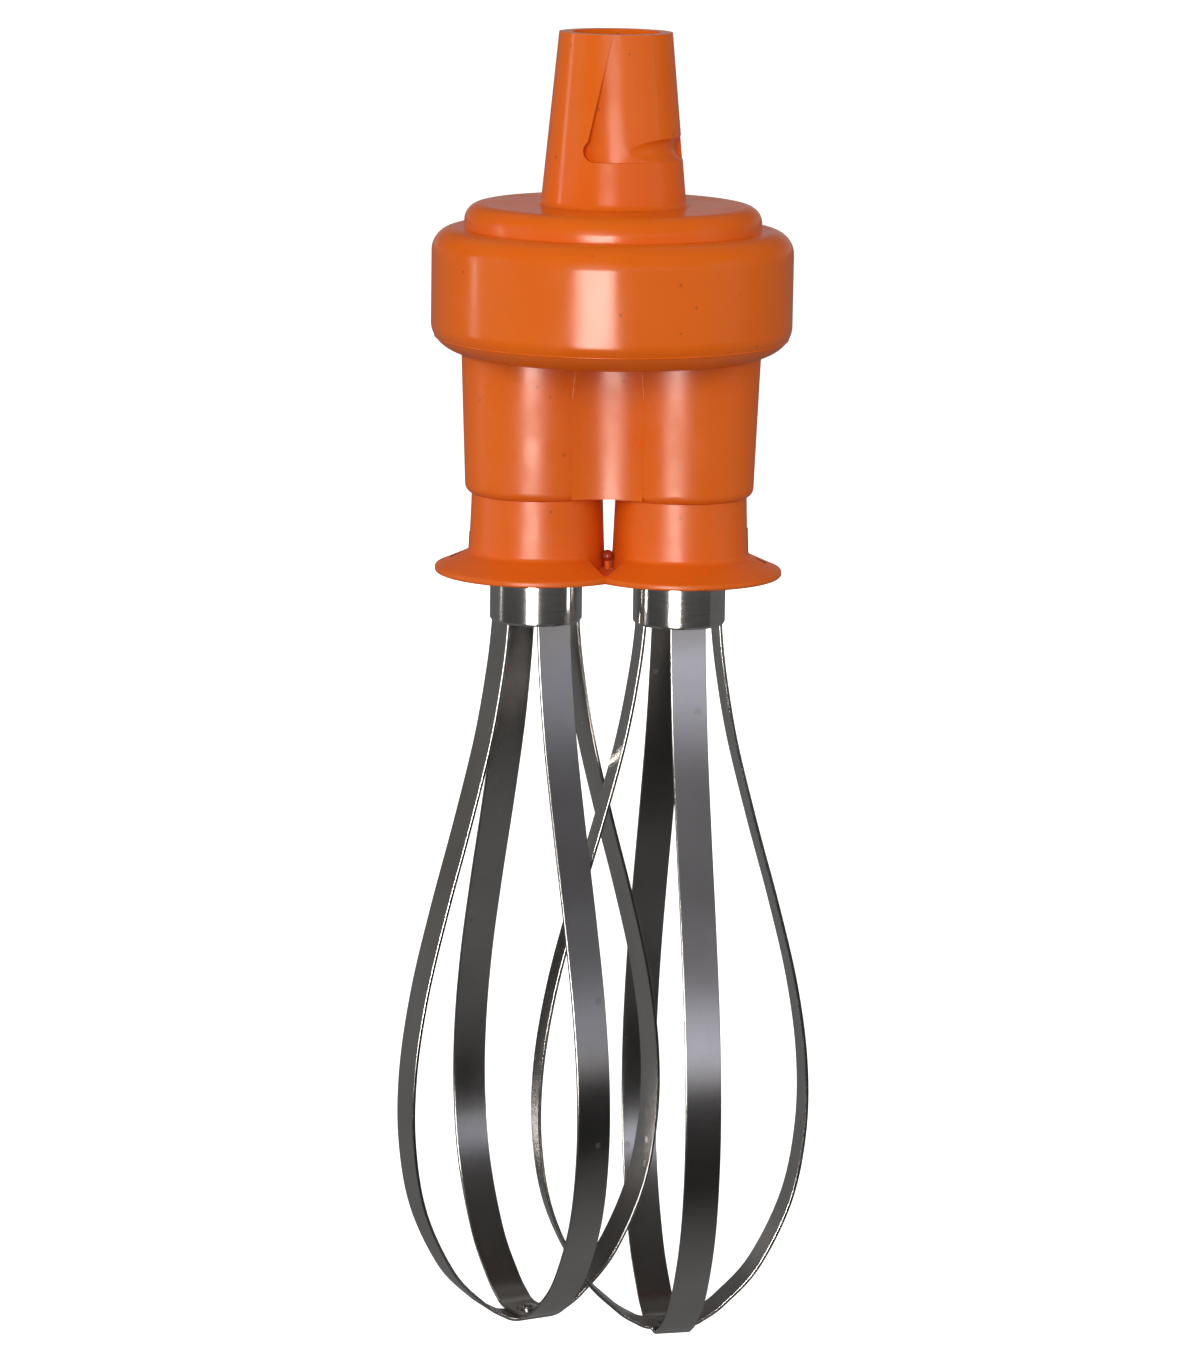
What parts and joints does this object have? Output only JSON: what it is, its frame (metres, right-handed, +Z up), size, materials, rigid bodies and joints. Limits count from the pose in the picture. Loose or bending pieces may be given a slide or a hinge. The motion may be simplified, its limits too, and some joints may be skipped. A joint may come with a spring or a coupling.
{
  "type": "immersion blender whisk attachment",
  "caption": "Geared whisk attachment for a hand blender: hollow bayonet spigot, stepped round housing, side-by-side sleeves over flanged skirts, and interleaving steel strip whisks.",
  "frame": {"origin": "centre of the flat face that meets the motor, at the foot of the spigot", "axes": "+Z up the spigot towards the motor, X along the line through both whisk axes, the pictured front faces -Y"},
  "size_m": [0.0698, 0.06, 0.2222],
  "materials": {
    "orange": "glossy moulded plastic",
    "nylon": "natural nylon",
    "dark_plastic": "dark moulded plastic",
    "rubber": "black rubber",
    "bronze": "sintered bronze",
    "screw_steel": "plain machined steel",
    "cup_steel": "bright drawn stainless steel",
    "strip_steel": "satin rolled stainless strip"
  },
  "bodies": {
    "housing": {"upper_housing": "orange", "lower_housing": "orange", "seam_ring": "rubber", "housing_screws": "screw_steel", "bearing_plate": "nylon", "plate_screws": "screw_steel", "bearing_outer": "screw_steel", "bearing_balls": "cup_steel", "drive_seal": "rubber", "pilot_bush": "bronze", "lay_bushes": "bronze", "upper_bushes": "bronze", "lower_bushes": "bronze", "thrust_washers": "bronze", "shaft_seals": "rubber"},
    "drive_line": {"drive_shaft": "screw_steel", "bearing_inner": "screw_steel", "drive_clip": "screw_steel", "drive_coupling": "nylon", "drive_pinion": "screw_steel"},
    "lay_line": {"lay_shaft": "screw_steel", "lay_gear": "nylon", "lay_pinion": "screw_steel"},
    "left_whisk": {"left_shaft": "screw_steel", "left_gear": "nylon", "left_clip": "screw_steel", "left_cup": "cup_steel", "left_core": "dark_plastic", "left_inner_loop": "strip_steel", "left_outer_loop": "strip_steel", "left_rivet": "cup_steel"},
    "right_whisk": {"right_shaft": "screw_steel", "right_gear": "nylon", "right_clip": "screw_steel", "right_cup": "cup_steel", "right_core": "dark_plastic", "right_inner_loop": "strip_steel", "right_outer_loop": "strip_steel", "right_rivet": "cup_steel"}
  },
  "joints": [
    {"name": "left_whisk_spin", "type": "hinge", "parent": "housing", "child": "left_whisk", "pos_m": [-0.012, 0, 0], "axis": [0, 0, 1], "continuous": true},
    {"name": "right_whisk_spin", "type": "hinge", "parent": "housing", "child": "right_whisk", "pos_m": [0.012, 0, 0], "axis": [0, 0, 1], "continuous": true},
    {"name": "lay_spin", "type": "hinge", "parent": "housing", "child": "lay_line", "pos_m": [-0.00213, 0.01505, 0], "axis": [0, 0, 1], "continuous": true},
    {"name": "drive_spin", "type": "hinge", "parent": "housing", "child": "drive_line", "pos_m": [0, 0, 0], "axis": [0, 0, 1], "continuous": true}
  ],
  "couplings": [
    {"joint": "right_whisk_spin", "follows": "left_whisk_spin", "ratio": -1},
    {"joint": "lay_spin", "follows": "left_whisk_spin", "ratio": -2},
    {"joint": "drive_spin", "follows": "left_whisk_spin", "ratio": 4.3333}
  ]
}
